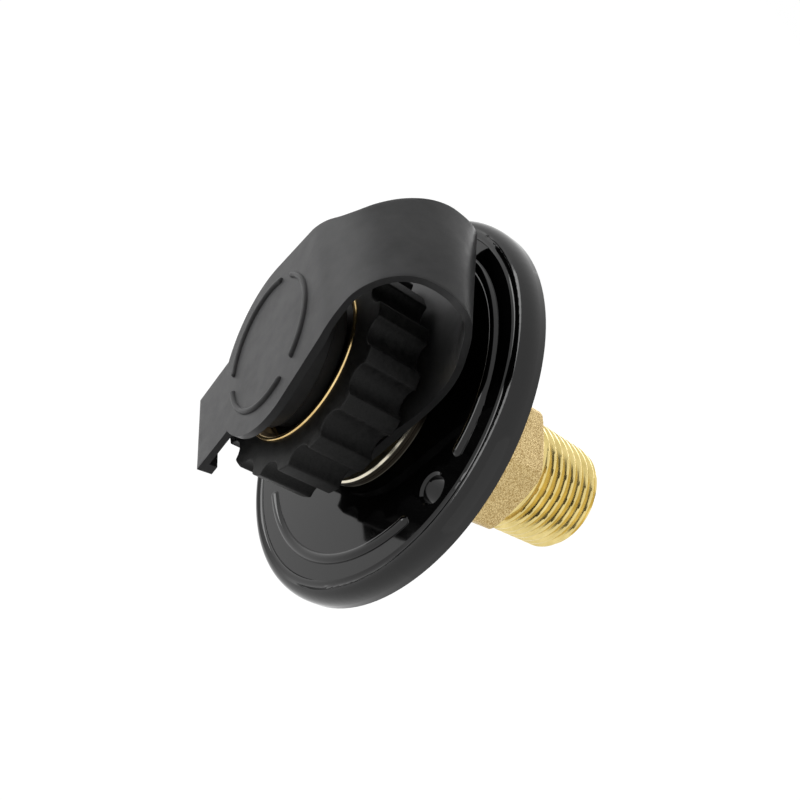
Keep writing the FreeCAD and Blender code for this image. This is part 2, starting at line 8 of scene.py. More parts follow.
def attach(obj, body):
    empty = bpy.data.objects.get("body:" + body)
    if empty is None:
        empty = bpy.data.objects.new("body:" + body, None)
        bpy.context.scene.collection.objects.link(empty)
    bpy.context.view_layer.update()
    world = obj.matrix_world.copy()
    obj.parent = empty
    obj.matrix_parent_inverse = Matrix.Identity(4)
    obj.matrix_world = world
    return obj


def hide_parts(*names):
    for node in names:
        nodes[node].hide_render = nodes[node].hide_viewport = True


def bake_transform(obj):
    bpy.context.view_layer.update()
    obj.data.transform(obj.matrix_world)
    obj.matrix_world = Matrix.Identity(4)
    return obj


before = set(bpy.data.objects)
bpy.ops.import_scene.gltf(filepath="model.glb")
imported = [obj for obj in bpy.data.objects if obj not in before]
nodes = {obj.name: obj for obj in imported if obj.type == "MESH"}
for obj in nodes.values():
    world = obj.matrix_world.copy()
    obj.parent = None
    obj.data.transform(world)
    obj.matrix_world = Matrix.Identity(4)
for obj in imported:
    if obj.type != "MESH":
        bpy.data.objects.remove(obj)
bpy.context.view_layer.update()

mm = 0.001
print("frame loaded,", len(nodes), "nodes")


# Out is the distance from the wall towards the hose, so it is -Y. Angles run from +Z towards +X.
def addObject(name, mesh):
    thing = bpy.data.objects.new(name, mesh)
    bpy.context.scene.collection.objects.link(thing)
    return thing


def meshFromGrid(name, grid, closeRows=True):
    # grid is rows x columns x 3 in millimetres; its columns always close into loops
    rows, columns = grid.shape[:2]
    index = np.arange(rows * columns).reshape(rows, columns)
    nextRow = np.roll(index, -1, axis=0)
    nextColumn = np.roll(index, -1, axis=1)
    corner = np.roll(nextRow, -1, axis=1)
    faces = np.stack([index, nextRow, corner, nextColumn], axis=-1)
    if not closeRows:
        faces = faces[:-1]
    mesh = bpy.data.meshes.new(name)
    mesh.from_pydata((grid.reshape(-1, 3) * mm).tolist(), [], faces.reshape(-1, 4).tolist())
    mesh.validate()
    return mesh


def facesOutward(mesh):
    work = bmesh.new()
    work.from_mesh(mesh)
    bmesh.ops.remove_doubles(work, verts=work.verts, dist=0.002 * mm)
    bmesh.ops.recalc_face_normals(work, faces=work.faces)
    if work.calc_volume(signed=True) < 0:
        bmesh.ops.reverse_faces(work, faces=work.faces)
    work.to_mesh(mesh)
    work.free()
    return mesh


def latheGrid(profile, angles):
    # profile is a closed loop of (radius, out); radius may be an array over the angles
    grid = np.zeros((len(profile), len(angles), 3))
    for row, (radius, out) in enumerate(profile):
        grid[row, :, 0] = radius * np.sin(angles)
        grid[row, :, 1] = -np.asarray(out)
        grid[row, :, 2] = radius * np.cos(angles)
    return grid


def latheMesh(name, profile, columns=192):
    angles = np.linspace(0, 2 * math.pi, columns, endpoint=False)
    return facesOutward(meshFromGrid(name, latheGrid(profile, angles)))


def smoothByAngle(thing, degrees=32):
    mesh = thing.data
    mesh.shade_smooth()
    mesh.set_sharp_from_angle(angle=math.radians(degrees))


def applyModifiers(thing):
    dependency = bpy.context.evaluated_depsgraph_get()
    finished = bpy.data.meshes.new_from_object(thing.evaluated_get(dependency))
    thing.modifiers.clear()
    thing.data = finished


def softenEdges(thing, width, segments=2, degrees=35):
    bevel = thing.modifiers.new("soften", "BEVEL")
    bevel.width = width * mm
    bevel.segments = segments
    bevel.limit_method = "ANGLE"
    bevel.angle_limit = math.radians(degrees)
    bevel.use_clamp_overlap = True
    bevel.miter_outer = "MITER_ARC"


def evenNormals(thing):
    weighted = thing.modifiers.new("even", "WEIGHTED_NORMAL")
    weighted.keep_sharp = True
    weighted.weight = 60


def cutOrJoin(thing, tool, operation):
    step = thing.modifiers.new("shape", "BOOLEAN")
    step.operation = operation
    step.solver = "EXACT"
    step.object = tool
    applyModifiers(thing)
    bpy.data.objects.remove(tool)


def waveOf(turns, crest, root):
    # A thread's form over one turn: 0 on the crest, 1 in the root, with straight flanks
    phase = np.abs((turns % 1.0) * 2 - 1)
    return np.clip((phase - crest) / (1 - crest - root), 0, 1)


# Shader building
class Shader:
    def __init__(self, name):
        self.material = bpy.data.materials.new(name)
        self.material.use_nodes = True
        self.tree = self.material.node_tree
        self.surface = self.tree.nodes["Principled BSDF"]
        self.place = self.add("ShaderNodeTexCoord").outputs["Object"]

    def add(self, kind, **settings):
        node = self.tree.nodes.new(kind)
        for key, value in settings.items():
            setattr(node, key, value)
        return node

    def join(self, source, target):
        self.tree.links.new(source, target)

    def stretched(self, scale):
        mapping = self.add("ShaderNodeMapping")
        mapping.inputs["Scale"].default_value = scale
        self.join(self.place, mapping.inputs["Vector"])
        return mapping.outputs["Vector"]

    def noise(self, scale, detail=3.0, roughness=0.55, stretch=None):
        node = self.add("ShaderNodeTexNoise")
        node.inputs["Scale"].default_value = scale
        node.inputs["Detail"].default_value = detail
        node.inputs["Roughness"].default_value = roughness
        self.join(self.stretched(stretch) if stretch else self.place, node.inputs["Vector"])
        return node.outputs["Fac"]

    def cells(self, scale):
        node = self.add("ShaderNodeTexVoronoi")
        node.inputs["Scale"].default_value = scale
        self.join(self.place, node.inputs["Vector"])
        return node.outputs["Distance"]

    def spread(self, source, low, high, outLow, outHigh):
        node = self.add("ShaderNodeMapRange")
        for key, value in (("From Min", low), ("From Max", high), ("To Min", outLow), ("To Max", outHigh)):
            node.inputs[key].default_value = value
        self.join(source, node.inputs["Value"])
        return node.outputs["Result"]

    def math(self, operation, first, second):
        node = self.add("ShaderNodeMath", operation=operation)
        for socket, value in zip(node.inputs, (first, second)):
            if isinstance(value, (int, float)):
                socket.default_value = value
            else:
                self.join(value, socket)
        return node.outputs["Value"]

    def tint(self, factor, dark, light):
        node = self.add("ShaderNodeMix", data_type="RGBA")
        node.inputs["A"].default_value = (*dark, 1)
        node.inputs["B"].default_value = (*light, 1)
        self.join(factor, node.inputs["Factor"])
        self.join(node.outputs["Result"], self.surface.inputs["Base Color"])

    def roughness(self, source):
        self.join(source, self.surface.inputs["Roughness"])

    def bump(self, *layers):
        # each layer is (height, depth in mm)
        normal = None
        for height, depth in layers:
            node = self.add("ShaderNodeBump")
            node.inputs["Strength"].default_value = 1.0
            node.inputs["Distance"].default_value = depth * mm
            self.join(height, node.inputs["Height"])
            if normal:
                self.join(normal, node.inputs["Normal"])
            normal = node.outputs["Normal"]
        self.join(normal, self.surface.inputs["Normal"])

    def fixed(self, **values):
        for key, value in values.items():
            self.surface.inputs[key.replace("_", " ")].default_value = value


# Finishes
rubberFinish = {
    "dark": (0.070, 0.070, 0.071),
    "light": (0.098, 0.098, 0.099),
    "roughLow": 0.32,
    "roughHigh": 0.44,
    "gleam": 0.10,
}


def strapRubber():
    shader = Shader("strapRubber")
    cloud = shader.noise(160.0, 4.0)
    shader.tint(shader.spread(cloud, 0.3, 0.7, 0.0, 1.0), rubberFinish["dark"], rubberFinish["light"])
    scuff = shader.noise(420.0, 5.0, 0.7)
    shader.roughness(shader.spread(scuff, 0.3, 0.75, rubberFinish["roughLow"], rubberFinish["roughHigh"]))
    grain = shader.noise(9000.0, 2.0)
    swell = shader.noise(110.0, 2.0)
    shader.bump((swell, 0.16), (grain, 0.008))
    shader.fixed(Specular_IOR_Level=rubberFinish["gleam"])
    return shader.material


nutFinish = {
    "dark": (0.004, 0.004, 0.004),
    "light": (0.036, 0.036, 0.035),
    "roughLow": 0.44,
    "roughHigh": 0.62,
    "gleam": 0.22,
}


def grainedMoulding():
    shader = Shader("grainedMoulding")
    cloud = shader.noise(700.0, 6.0, 0.7)
    shader.tint(shader.spread(cloud, 0.35, 0.7, 0.0, 1.0), nutFinish["dark"], nutFinish["light"])
    shader.roughness(shader.spread(cloud, 0.3, 0.7, nutFinish["roughLow"], nutFinish["roughHigh"]))
    grain = shader.noise(5200.0, 3.0, 0.6)
    shader.bump((grain, 0.035))
    shader.fixed(Specular_IOR_Level=nutFinish["gleam"])
    return shader.material


flangeFinish = {
    "dark": (0.0015, 0.0015, 0.0016),
    "light": (0.003, 0.003, 0.0031),
    "roughLow": 0.06,
    "roughHigh": 0.11,
    "gleam": 0.42,
}


def glossMoulding():
    shader = Shader("glossMoulding")
    cloud = shader.noise(90.0, 3.0)
    shader.tint(shader.spread(cloud, 0.3, 0.7, 0.0, 1.0), flangeFinish["dark"], flangeFinish["light"])
    smear = shader.noise(240.0, 5.0, 0.65)
    shader.roughness(shader.spread(smear, 0.35, 0.75, flangeFinish["roughLow"], flangeFinish["roughHigh"]))
    flow = shader.noise(55.0, 1.0)
    shader.bump((flow, 0.03))
    shader.fixed(Specular_IOR_Level=flangeFinish["gleam"])
    return shader.material


castFinish = {"dark": (0.40, 0.27, 0.10), "light": (0.88, 0.71, 0.37), "roughLow": 0.38, "roughHigh": 0.55}


def castBrass():
    shader = Shader("castBrass")
    grit = shader.spread(shader.cells(4600.0), 0.1, 0.8, 1.0, 0.0)
    blot = shader.noise(500.0, 4.0, 0.6)
    mixed = shader.math("ADD", shader.math("MULTIPLY", grit, 0.75), shader.math("MULTIPLY", blot, 0.25))
    shader.tint(shader.spread(mixed, 0.25, 0.75, 0.0, 1.0), castFinish["dark"], castFinish["light"])
    shader.roughness(shader.spread(grit, 0.3, 0.7, castFinish["roughLow"], castFinish["roughHigh"]))
    shader.bump((blot, 0.05), (grit, 0.07))
    shader.fixed(Metallic=1.0)
    return shader.material


def turnedBrass(name, finish):
    shader = Shader(name)
    lathe = shader.noise(900.0, 3.0, 0.6, stretch=(0.02, 9.0, 0.02))
    blot = shader.noise(300.0, 3.0)
    shader.tint(shader.spread(blot, 0.3, 0.7, 0.0, 1.0), finish["dark"], finish["light"])
    shader.roughness(shader.spread(lathe, 0.3, 0.7, finish["roughLow"], finish["roughHigh"]))
    shader.bump((lathe, 0.004))
    shader.fixed(Metallic=1.0)
    return shader.material


turnedFinish = {"dark": (0.66, 0.52, 0.19), "light": (0.84, 0.68, 0.29), "roughLow": 0.14, "roughHigh": 0.26}
lipFinish = {"dark": (0.78, 0.52, 0.20), "light": (0.94, 0.72, 0.36), "roughLow": 0.14, "roughHigh": 0.26}
# Painted shade: a darker brass for the insert's threaded inside, standing in for the shadow inside the nut's
# mouth
paintedShadeFinish = {"dark": (0.16, 0.10, 0.04), "light": (0.30, 0.20, 0.08), "roughLow": 0.4, "roughHigh": 0.55}
# Painted light: the side colour is a painted dark reflection on the collar's side, and the bright colour is
# a painted highlight along its front edge, placed by rimStarts and rimBlend
collarFinish = {
    "side": (0.13, 0.10, 0.07),
    "rim": (0.86, 0.80, 0.64),
    "roughLow": 0.16,
    "roughHigh": 0.3,
    "rimStarts": 4.40,
    "rimBlend": 0.12,
}


def collarMetal():
    # Painted light: the ring's side is painted dark as a painted reflection of dark surroundings, and a
    # bright band at its front edge is a painted highlight
    shader = Shader("collarMetal")
    lathe = shader.noise(900.0, 3.0, 0.6, stretch=(0.02, 9.0, 0.02))
    split = shader.add("ShaderNodeSeparateXYZ")
    shader.join(shader.place, split.inputs["Vector"])
    start = collarFinish["rimStarts"]
    rim = shader.spread(split.outputs["Y"], -(start + collarFinish["rimBlend"]) * mm, -start * mm, 1.0, 0.0)
    paintedHighlightWithLathe = shader.math("ADD", shader.math("MULTIPLY", rim, 0.85), shader.math("MULTIPLY", lathe, 0.15))
    shader.tint(paintedHighlightWithLathe, collarFinish["side"], collarFinish["rim"])
    shader.roughness(shader.spread(lathe, 0.3, 0.7, collarFinish["roughLow"], collarFinish["roughHigh"]))
    shader.bump((lathe, 0.01))
    shader.fixed(Metallic=1.0)
    return shader.material


sealFinish = {"dark": (0.012, 0.012, 0.012), "light": (0.024, 0.024, 0.024), "roughLow": 0.45,
              "roughHigh": 0.6}


def sealRubber():
    shader = Shader("sealRubber")
    cloud = shader.noise(500.0, 4.0)
    shader.tint(shader.spread(cloud, 0.3, 0.7, 0.0, 1.0), sealFinish["dark"], sealFinish["light"])
    shader.roughness(shader.spread(cloud, 0.3, 0.7, sealFinish["roughLow"], sealFinish["roughHigh"]))
    shader.bump((shader.noise(6000.0, 2.0), 0.01))
    return shader.material


valveFinish = {"dark": (0.52, 0.52, 0.49), "light": (0.62, 0.62, 0.59), "roughLow": 0.38, "roughHigh": 0.5}


def valvePlastic():
    shader = Shader("valvePlastic")
    cloud = shader.noise(300.0, 3.0)
    shader.tint(shader.spread(cloud, 0.3, 0.7, 0.0, 1.0), valveFinish["dark"], valveFinish["light"])
    shader.roughness(shader.spread(cloud, 0.3, 0.7, valveFinish["roughLow"], valveFinish["roughHigh"]))
    shader.bump((shader.noise(4000.0, 2.0), 0.006))
    return shader.material


steelFinish = {"dark": (0.45, 0.45, 0.45), "light": (0.62, 0.62, 0.61), "roughLow": 0.25, "roughHigh": 0.4}


def plainSteel():
    shader = Shader("plainSteel")
    drawn = shader.noise(1400.0, 3.0)
    shader.tint(shader.spread(drawn, 0.3, 0.7, 0.0, 1.0), steelFinish["dark"], steelFinish["light"])
    shader.roughness(shader.spread(drawn, 0.3, 0.7, steelFinish["roughLow"], steelFinish["roughHigh"]))
    shader.bump((drawn, 0.004))
    shader.fixed(Metallic=1.0)
    return shader.material


finishes = {
    "strap": strapRubber(),
    "nut": grainedMoulding(),
    "flange": glossMoulding(),
    "cast": castBrass(),
    "turned": turnedBrass("turnedBrass", turnedFinish),
    "lip": turnedBrass("lipBrass", lipFinish),
    # Painted shade on the insert's inside threads
    "thread": turnedBrass("insertThreadShaded", paintedShadeFinish),
    # Painted highlight and painted dark reflection on the collar
    "collar": collarMetal(),
    "seal": sealRubber(),
    "valve": valvePlastic(),
    "steel": plainSteel(),
}
print("finishes made")


def dress(thing, *names):
    thing.data.materials.clear()
    for name in names:
        thing.data.materials.append(finishes[name])


# Brass body behind the wall
bodyShape = {
    "acrossFlats": 23.0,
    "cornerRound": 1.6,
    "turn": -13.0,
    "hexEnd": -26.2,
    "chamferRadius": 13.03,
    "chamferDrop": 2.2,
    "chamferLength": 0.9,
    "cornerFall": 0.12,
    "shoulder": 14.6,
    "shoulderDepth": 2.4,
    "shoulderRound": 0.3,
    "sealGroove": (11.6, 13.2),
    "sealGrooveDepth": 1.6,
    "threadEnd": -43.2,
    "endRadius": 10.3,
    "endFace": 9.1,
    "taper": 1 / 32,
    "pitch": 1.814,
    "threadDepth": 1.0,
    "threadStep": 0.113,
    "relief": 0.5,
    "runOut": 1.2,
    "crestShare": 0.22,
    "rootShare": 0.06,
    "socket": 9.45,
    "socketDepth": 10.0,
    "chamber": 8.7,
    "chamberDepth": 24.4,
    "outlet": 7.3,
    "outletMiddle": 34.0,
    "outletBevel": 0.4,
    "columns": 360,
}


def hexRadius(angles, flat):
    corner = bodyShape["cornerRound"]
    fromFlat = (angles - math.radians(bodyShape["turn"] + 30)) % (math.pi / 3)
    fromFlat = np.where(fromFlat > math.pi / 6, fromFlat - math.pi / 3, fromFlat)
    straight = flat / np.cos(fromFlat)
    centre = (flat - corner) / math.cos(math.pi / 6)
    swing = math.pi / 6 - np.abs(fromFlat)
    arc = centre * np.cos(swing) + np.sqrt(np.maximum(corner ** 2 - (centre * np.sin(swing)) ** 2, 0))
    touching = math.atan2(flat * math.tan(math.pi / 6) - corner * math.tan(math.pi / 6), flat)
    return np.where(np.abs(fromFlat) > touching, arc, straight)


def threadRadius(angles, out):
    shape = bodyShape
    along = out - shape["threadEnd"]
    major = shape["endRadius"] + along * shape["taper"]
    turns = out / shape["pitch"] + angles / (2 * math.pi)
    begun = (shape["hexEnd"] - shape["relief"] - out) / shape["runOut"]
    depth = shape["threadDepth"] * min(1.0, max(0.0, begun))
    radius = major - depth * waveOf(turns, shape["crestShare"], shape["rootShare"])
    return np.minimum(radius, shape["endFace"] + along)


def makeBody():
    shape = bodyShape
    angles = np.linspace(0, 2 * math.pi, shape["columns"], endpoint=False) + math.radians(shape["turn"])
    flat = shape["acrossFlats"] / 2
    hexa = hexRadius(angles, flat)
    root = shape["endRadius"] + (shape["hexEnd"] - shape["threadEnd"]) * shape["taper"]
    grooveIn, grooveOut = shape["sealGroove"]
    groove = -shape["sealGrooveDepth"]
    shoulder = shape["shoulder"]
    back = -shape["shoulderDepth"]
    edge = shape["shoulderRound"]
    profile = [(shape["socket"], 0.0), (grooveIn, 0.0), (grooveIn, groove)]
    profile += [(grooveOut, groove), (grooveOut, 0.0)]
    profile += [(shoulder - edge, 0.0), (shoulder, -edge), (shoulder, back + edge), (shoulder - edge, back)]
    castStart = len(profile) - 1
    profile.append((hexa, back))
    for out in np.linspace(back - 0.6, shape["hexEnd"] + 1.1, 12):
        profile.append((hexa, out))
    for step in np.linspace(0.1, 1.0, 7):
        cone = shape["chamferRadius"] - shape["chamferDrop"] * step ** 1.6
        rounded = np.minimum(hexa, cone) - shape["cornerFall"] * step ** 2
        profile.append((rounded, shape["hexEnd"] + shape["chamferLength"] * (1 - step)))
    castEnd = len(profile)
    profile.append((root - 0.2, shape["hexEnd"]))
    for out in np.arange(shape["hexEnd"] - 0.1, shape["threadEnd"], -shape["threadStep"]):
        profile.append((threadRadius(angles, out), out))
    end = shape["threadEnd"]
    bevel = shape["outletBevel"]
    floor = -shape["chamberDepth"]
    socketEnd = -shape["socketDepth"]
    outlet = shape["outlet"]
    socket = shape["socket"]
    profile += [(shape["endFace"], end), (outlet + bevel, end), (outlet, end + bevel)]
    profile += [(outlet, -shape["outletMiddle"]), (outlet, floor), (shape["chamber"], floor)]
    profile += [(shape["chamber"], socketEnd), (socket, socketEnd), (socket, socketEnd / 2)]
    mesh = meshFromGrid("inletBodyThreaded", latheGrid(profile, angles))
    columns = len(angles)
    materials = np.ones(len(mesh.polygons), dtype=np.int32)
    materials[castStart * columns:castEnd * columns] = 0
    mesh.polygons.foreach_set("material_index", materials)
    work = bmesh.new()
    work.from_mesh(mesh)
    bmesh.ops.recalc_face_normals(work, faces=work.faces)
    work.to_mesh(mesh)
    work.free()
    body = addObject("inletBodyThreaded", mesh)
    smoothByAngle(body, 50)
    body.data.materials.append(finishes["cast"])
    body.data.materials.append(finishes["turned"])
    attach(body, "root")
    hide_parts("inlet_body")


makeBody()
print("brass body made")


# Scalloped hose nut
nutShape = {
    "rear": 9.5,
    "front": 19.4,
    "ridge": 19.8,
    "inner": 14.1,
    "depth": 2.0,
    "width": 5.0,
    "lobes": 16,
    "turn": 4.5,
    "faceRing": 15.2,
    "edgeRound": 0.42,
}


def scallopRadius(offset):
    shape = nutShape
    half = shape["width"] / 2
    hollow = (half ** 2 + shape["depth"] ** 2) / (2 * shape["depth"])
    centre = shape["ridge"] - shape["depth"] + hollow
    inside = hollow ** 2 - (centre * math.sin(offset)) ** 2
    if inside <= 0:
        return shape["ridge"]
    return min(shape["ridge"], centre * math.cos(offset) - math.sqrt(inside))


def makeNut():
    shape = nutShape
    step = 2 * math.pi / shape["lobes"]
    edge = math.asin(shape["width"] / 2 / shape["ridge"])
    offsets = [edge * share for share in np.sin(np.linspace(-math.pi / 2, math.pi / 2, 13))]
    offsets += list(np.linspace(edge, step - edge, 6)[1:-1])
    angles = []
    outer = []
    for lobe in range(shape["lobes"]):
        for offset in offsets:
            angles.append(math.radians(shape["turn"]) + lobe * step + offset)
            outer.append(scallopRadius(offset) if abs(offset) <= edge else shape["ridge"])
    angles = np.array(angles)
    outer = np.array(outer)
    front = shape["front"]
    profile = [(shape["inner"], shape["rear"]), (outer, shape["rear"])]
    profile += [(outer, out) for out in np.linspace(shape["rear"] + 1.6, front - 1.6, 3)]
    profile += [(outer, front), (shape["faceRing"], front), (shape["inner"], front)]
    mesh = facesOutward(meshFromGrid("nutGripMoulded", latheGrid(profile, angles)))
    nut = addObject("nutGripMoulded", mesh)
    softenEdges(nut, shape["edgeRound"], 3, 30)
    applyModifiers(nut)
    smoothByAngle(nut, 40)
    evenNormals(nut)
    applyModifiers(nut)
    dress(nut, "nut")
    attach(nut, "nut")
    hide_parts("nut_grip")


insertShape = {
    "bore": 12.4,
    "outer": 14.1,
    "mouth": 13.5,
    "rear": 9.5,
    "floorBore": 9.2,
    "floorTop": 11.2,
    "threadStart": 11.7,
    "lipStands": 0.25,
    "lipRound": 0.1,
    "pitch": 2.209,
    "depth": 1.0,
    "threadStep": 0.13,
    "flankShare": 0.15,
}


def makeInsert():
    shape = insertShape
    angles = np.linspace(0, 2 * math.pi, 240, endpoint=False)
    lip = nutShape["front"] + shape["lipStands"]
    edge = shape["lipRound"]
    start = shape["threadStart"]
    flank = shape["flankShare"]
    outer = shape["outer"]
    profile = [(shape["floorBore"], shape["rear"]), (outer, shape["rear"]), (outer, lip - edge)]
    profile += [(outer - edge, lip), (shape["mouth"] + edge, lip), (shape["mouth"], lip - edge)]
    for out in np.arange(lip - 2 * edge, start + 0.2, -shape["threadStep"]):
        turns = out / shape["pitch"] + angles / (2 * math.pi)
        fade = min(1.0, (out - start - 0.1) / 1.2)
        mouth = shape["mouth"] - (lip - edge - out)
        radius = shape["bore"] + shape["depth"] * fade * (1 - waveOf(turns, flank, flank))
        profile.append((np.maximum(radius, mouth), out))
    floor = shape["floorTop"]
    profile += [(shape["bore"], start), (shape["bore"], floor), (shape["floorBore"], floor)]
    mesh = facesOutward(meshFromGrid("nutInsertThreaded", latheGrid(profile, angles)))
    insert = addObject("nutInsertThreaded", mesh)
    smoothByAngle(insert, 50)
    dress(insert, "lip", "thread")
    # Faces inside the mouth take the darker brass, a painted shade
    for face in insert.data.polygons:
        across = math.hypot(face.center.x, face.center.z) / mm
        face.material_index = int(across < shape["mouth"] + 0.02)
    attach(insert, "nut")
    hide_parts("nut_insert")


makeNut()
makeInsert()
print("hose nut made")


# Rubber plug, strap and ring, one moulding
strapShape = {
    "thickness": 1.1,
    "ringThickness": 1.6,
    "capThickness": 1.3,
    "tabThickness": 1.2,
    "ringOut": 6.7,
    "ringHalf": 15.8,
    "ringHole": 9.25,
    "ringBendUp": 12.0,
    "ringPull": 4.5,
    "thinsFrom": 8.0,
    "thinsOver": 5.0,
    "crestUp": 31.1,
    "capOut": 25.7,
    "capTilt": 6.6,
    "capRadius": 15.5,
    "capBendUp": 14.5,
    "capThickens": 3.0,
    "frontLift": 9.2,
    "neckTaper": 13.0,
    "tabHalf": 8.0,
    "tabReach": 23.7,
    "lipWidth": 2.0,
    "lipDepth": 1.5,
    "bendReach": 12.5,
    "edgeRound": 0.2,
    "across": 28,
}
# The strap twists as it bends, so each edge has its own bend and its own width along it.
nearEdge = {
    "crestOut": 15.2,
    "knee": (9.3, 25.6),
    "kneeHeading": (0.46, 0.89),
    "kneeLengths": (5.0, 3.4),
    "crestRun": 2.6,
    "frontRun": 6.7,
    "rearWidths": [(0.0, 15.8), (0.72, 15.8), (0.86, 15.5), (1.0, 14.3)],
    "frontWidths": [(0.0, 14.3), (0.1, 12.5), (0.2, 11.1), (0.31, 9.8), (0.43, 9.1), (0.62, 9.0),
                    (0.75, 9.6), (0.87, 11.1), (1.0, 12.56)],
}
farEdge = {
    "crestOut": 12.2,
    "knee": (4.95, 27.6),
    "kneeHeading": (-0.03, 1.0),
    "kneeLengths": (6.0, 2.3),
    "crestRun": 6.0,
    "frontRun": 8.3,
    "rearWidths": [(0.0, 15.8), (0.2, 14.9), (0.5, 12.6), (0.65, 12.2), (1.0, 12.4)],
    "frontWidths": [(0.0, 12.4), (0.15, 11.8), (0.33, 10.8), (0.54, 9.7), (0.66, 9.3), (0.76, 9.7),
                    (0.87, 11.1), (1.0, 12.56)],
}


def bezier(points, share):
    rest = 1 - share
    weights = (rest ** 3, 3 * rest ** 2 * share, 3 * rest * share ** 2, share ** 3)
    return sum(weight * np.array(point, float) for weight, point in zip(weights, points))


def smoothWidth(knots, at):
    # A smooth curve through a few (place, width) pairs
    places = np.array([place for place, width in knots])
    widths = np.array([width for place, width in knots])
    slopes = np.gradient(widths, places)
    slopes[0] = 0.6 * slopes[0]
    index = int(np.clip(np.searchsorted(places, at) - 1, 0, len(places) - 2))
    run = places[index + 1] - places[index]
    share = (at - places[index]) / run
    rise = 3 * share ** 2 - 2 * share ** 3
    return float(
        widths[index] * (1 - rise) + widths[index + 1] * rise
        + (share ** 3 - 2 * share ** 2 + share) * run * slopes[index]
        + (share ** 3 - share ** 2) * run * slopes[index + 1]
    )


def edgeRows(edge):
    # (out, up, half width) down one edge of the strap's outside, from the ring's lower end to the tab's tip
    shape = strapShape
    slope = math.tan(math.radians(shape["capTilt"]))
    ringStart = (shape["ringOut"], shape["ringBendUp"])
    crest = (edge["crestOut"], shape["crestUp"])
    capStart = (shape["capOut"] + shape["capBendUp"] * slope, shape["capBendUp"])
    knee = np.array(edge["knee"])
    heading = np.array(edge["kneeHeading"])
    before, after = edge["kneeLengths"]
    rearPull = (shape["ringOut"], shape["ringBendUp"] + shape["ringPull"])
    lower = [ringStart, rearPull, knee - heading * before, knee]
    upper = [knee, knee + heading * after, (crest[0] - edge["crestRun"], crest[1]), crest]
    frontPull = (capStart[0] + slope * shape["frontLift"], capStart[1] + shape["frontLift"])
    front = [crest, (crest[0] + edge["frontRun"], crest[1]), frontPull, capStart]
    rows = []
    half = shape["ringHalf"]
    for angle in np.linspace(math.pi * 0.985, math.pi / 2, 16):
        rows.append((shape["ringOut"], half * math.cos(angle), half * math.sin(angle)))
    for up in np.linspace(0, shape["ringBendUp"], 10)[1:-1]:
        rows.append((shape["ringOut"], up, half))
    for share in np.linspace(0, 0.5, 16)[:-1]:
        rows.append((*bezier(lower, 2 * share), smoothWidth(edge["rearWidths"], share)))
    for share in np.linspace(0.5, 1, 24):
        rows.append((*bezier(upper, 2 * share - 1), smoothWidth(edge["rearWidths"], share)))
    for share in np.linspace(0, 1, 40)[1:]:
        rows.append((*bezier(front, share), smoothWidth(edge["frontWidths"], share)))
    lean = math.radians(shape["neckTaper"])
    discUp = shape["capRadius"] * math.sin(lean)
    for up in np.linspace(shape["capBendUp"], discUp, 14)[1:]:
        half = shape["capRadius"] * math.cos(lean) - (up - discUp) * math.tan(lean)
        rows.append((shape["capOut"] + up * slope, up, half))
    foot = math.asin(shape["tabHalf"] / shape["capRadius"])
    for angle in np.linspace(math.pi / 2 - lean, math.pi - foot, 26)[1:]:
        up = shape["capRadius"] * math.cos(angle)
        rows.append((shape["capOut"] + up * slope, up, shape["capRadius"] * math.sin(angle)))
    lowest = rows[-1][1]
    lipTop = shape["lipWidth"] - shape["tabReach"]
    tabUps = list(np.linspace(lowest - 0.05, lipTop + 0.01, 8))
    tabUps += list(np.linspace(lipTop - 0.01, -shape["tabReach"], 4))
    rows += [(shape["capOut"] + up * slope, up, shape["tabHalf"]) for up in tabUps]
    return np.array(rows)


def strapThickness(row, crestRow, up):
    shape = strapShape
    if row < crestRow:
        share = min(1.0, max(0.0, (up - shape["thinsFrom"]) / shape["thinsOver"]))
        return shape["ringThickness"] + (shape["thickness"] - shape["ringThickness"]) * share
    foot = -math.sqrt(shape["capRadius"] ** 2 - shape["tabHalf"] ** 2)
    if up < shape["lipWidth"] - shape["tabReach"]:
        return shape["tabThickness"] + shape["lipDepth"]
    if up < foot - 0.02:
        return shape["tabThickness"]
    share = min(1.0, max(0.0, (shape["capBendUp"] - up) / shape["capThickens"] + 0.5))
    return shape["thickness"] + (shape["capThickness"] - shape["thickness"]) * share


def strapMesh():
    shape = strapShape
    near = edgeRows(nearEdge)
    far = edgeRows(farEdge)
    alongNear = np.gradient(near[:, :2], axis=0)
    alongFar = np.gradient(far[:, :2], axis=0)
    crestRow = int(np.argmax(near[:, 1]))
    across = shape["across"]
    rows = []
    for row in range(len(near)):
        thick = strapThickness(row, crestRow, near[row, 1])
        outer = []
        inner = []
        for x in np.linspace(-far[row, 2], near[row, 2], across):
            share = (1 + x / shape["bendReach"]) / 2
            out, up = far[row, :2] + (near[row, :2] - far[row, :2]) * share
            along = alongFar[row] + (alongNear[row] - alongFar[row]) * share
            along = along / np.linalg.norm(along)
            outer.append((x, -out, up))
            inner.append((x, -(out + along[1] * thick), up - along[0] * thick))
        rows.append(outer + inner[::-1])
    grid = np.array(rows)
    mesh = meshFromGrid("plugAndStrap", grid, closeRows=False)
    work = bmesh.new()
    work.from_mesh(mesh)
    work.verts.ensure_lookup_table()
    count = 2 * across
    last = (len(rows) - 1) * count
    for start in (0, last):
        for column in range(across - 1):
            opposite = start + count - 1 - column
            corners = [start + column, start + column + 1, opposite - 1, opposite]
            work.faces.new([work.verts[corner] for corner in corners])
    bmesh.ops.recalc_face_normals(work, faces=work.faces)
    work.to_mesh(mesh)
    work.free()
    return mesh


def tiltWithCap(mesh):
    pivot = Matrix.Translation((0, -strapShape["capOut"] * mm, 0))
    lean = Matrix.Rotation(math.radians(strapShape["capTilt"]), 4, "X")
    mesh.transform(pivot @ lean @ pivot.inverted())
    return mesh


stopperShape = {"inside": 9.4, "top": 25.0, "step": 12.4, "stepEnd": 20.6, "radius": 11.6, "end": 18.0,
                "bevel": 0.8, "round": 0.25, "corner": 0.2}


